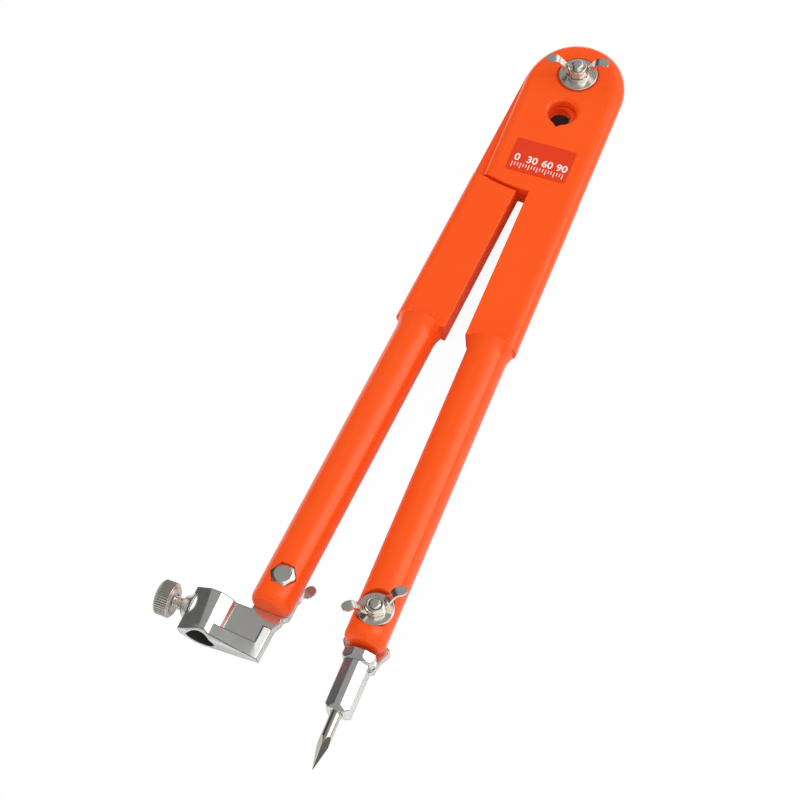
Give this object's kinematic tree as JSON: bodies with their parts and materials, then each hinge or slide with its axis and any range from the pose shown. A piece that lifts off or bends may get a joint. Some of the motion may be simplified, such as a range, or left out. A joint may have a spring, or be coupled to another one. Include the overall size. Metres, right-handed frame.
{
  "type": "hinged compass",
  "caption": "Two-leg hinged workshop compass with flat lapped head, round legs, a steel needle point and a swivelling pencil clamp, locked by wing nuts.",
  "frame": {"origin": "on the hinge axis at the flat end of the hinge bolt's hex head, on the back of the head", "axes": "+Z out of the front face along the hinge axis; -Y from the hinge along the needle leg towards its point; the pencil leg is on the -X side, opened 4 degrees"},
  "size_m": [0.0745, 0.273, 0.0253],
  "materials": {
    "orange_plastic": "gloss, moulded",
    "label_print": "printed film",
    "chrome_casting": "polished plate on a casting",
    "nickel_hardware": "bright nickel plate",
    "knurled_nickel": "dull nickel, knurled",
    "needle_steel": "ground and polished"
  },
  "bodies": {
    "needle_leg": {"right_leg": "orange_plastic", "size_label": "label_print", "pivot_washer": "nickel_hardware", "pivot_spring_washer": "nickel_hardware", "needle_washer": "nickel_hardware"},
    "pencil_leg": {"left_leg": "orange_plastic", "pivot_bolt": "nickel_hardware", "pencil_bolt": "nickel_hardware"},
    "hinge_nut": {"pivot_wing_nut": "nickel_hardware"},
    "needle_arm": {"needle_holder": "chrome_casting", "needle": "needle_steel", "needle_bolt": "nickel_hardware"},
    "needle_nut": {"needle_wing_nut": "nickel_hardware"},
    "pencil_arm": {"pencil_holder": "chrome_casting", "pencil_washer": "nickel_hardware", "pencil_spring_washer": "nickel_hardware"},
    "pencil_nut": {"pencil_wing_nut": "nickel_hardware"},
    "screw_shank": {"clamp_screw": "nickel_hardware"},
    "screw_knob": {"clamp_knob": "knurled_nickel"}
  },
  "joints": [
    {"name": "leg_hinge", "type": "hinge", "parent": "needle_leg", "child": "pencil_leg", "pos_m": [0, 0, 0.00445], "axis": [0, 0, -1], "range_deg": [-3.6, 170]},
    {"name": "hinge_nut_turn", "type": "hinge", "parent": "pencil_leg", "child": "hinge_nut", "pos_m": [0, 0, 0.011], "axis": [0, 0, 1], "continuous": true},
    {"name": "needle_swivel", "type": "hinge", "parent": "needle_leg", "child": "needle_arm", "pos_m": [0.00835, -0.2071, 0], "axis": [0, 0, -1], "range_deg": [-90, 40]},
    {"name": "needle_nut_turn", "type": "hinge", "parent": "needle_arm", "child": "needle_nut", "pos_m": [0.00835, -0.2071, 0.012], "axis": [0, 0, 1], "continuous": true},
    {"name": "pencil_swivel", "type": "hinge", "parent": "pencil_leg", "child": "pencil_arm", "pos_m": [-0.02179, -0.20548, 0], "axis": [0, 0, 1], "range_deg": [-90, 60]},
    {"name": "pencil_nut_turn", "type": "hinge", "parent": "pencil_leg", "child": "pencil_nut", "pos_m": [-0.02179, -0.20548, -0.006], "axis": [0, 0, -1], "continuous": true},
    {"name": "screw_feed", "type": "slide", "parent": "pencil_arm", "child": "screw_shank", "axis": [0.9976, -0.0698, 0], "range_m": [-0.0019, 0.0019]},
    {"name": "knob_turn", "type": "hinge", "parent": "screw_shank", "child": "screw_knob", "pos_m": [-0.03947, -0.22043, 0.0001], "axis": [0.9976, -0.0698, 0], "range_deg": [-1080, 1080]}
  ],
  "couplings": [
    {"joint": "knob_turn", "follows": "screw_feed", "rad_per_m": 8976}
  ]
}
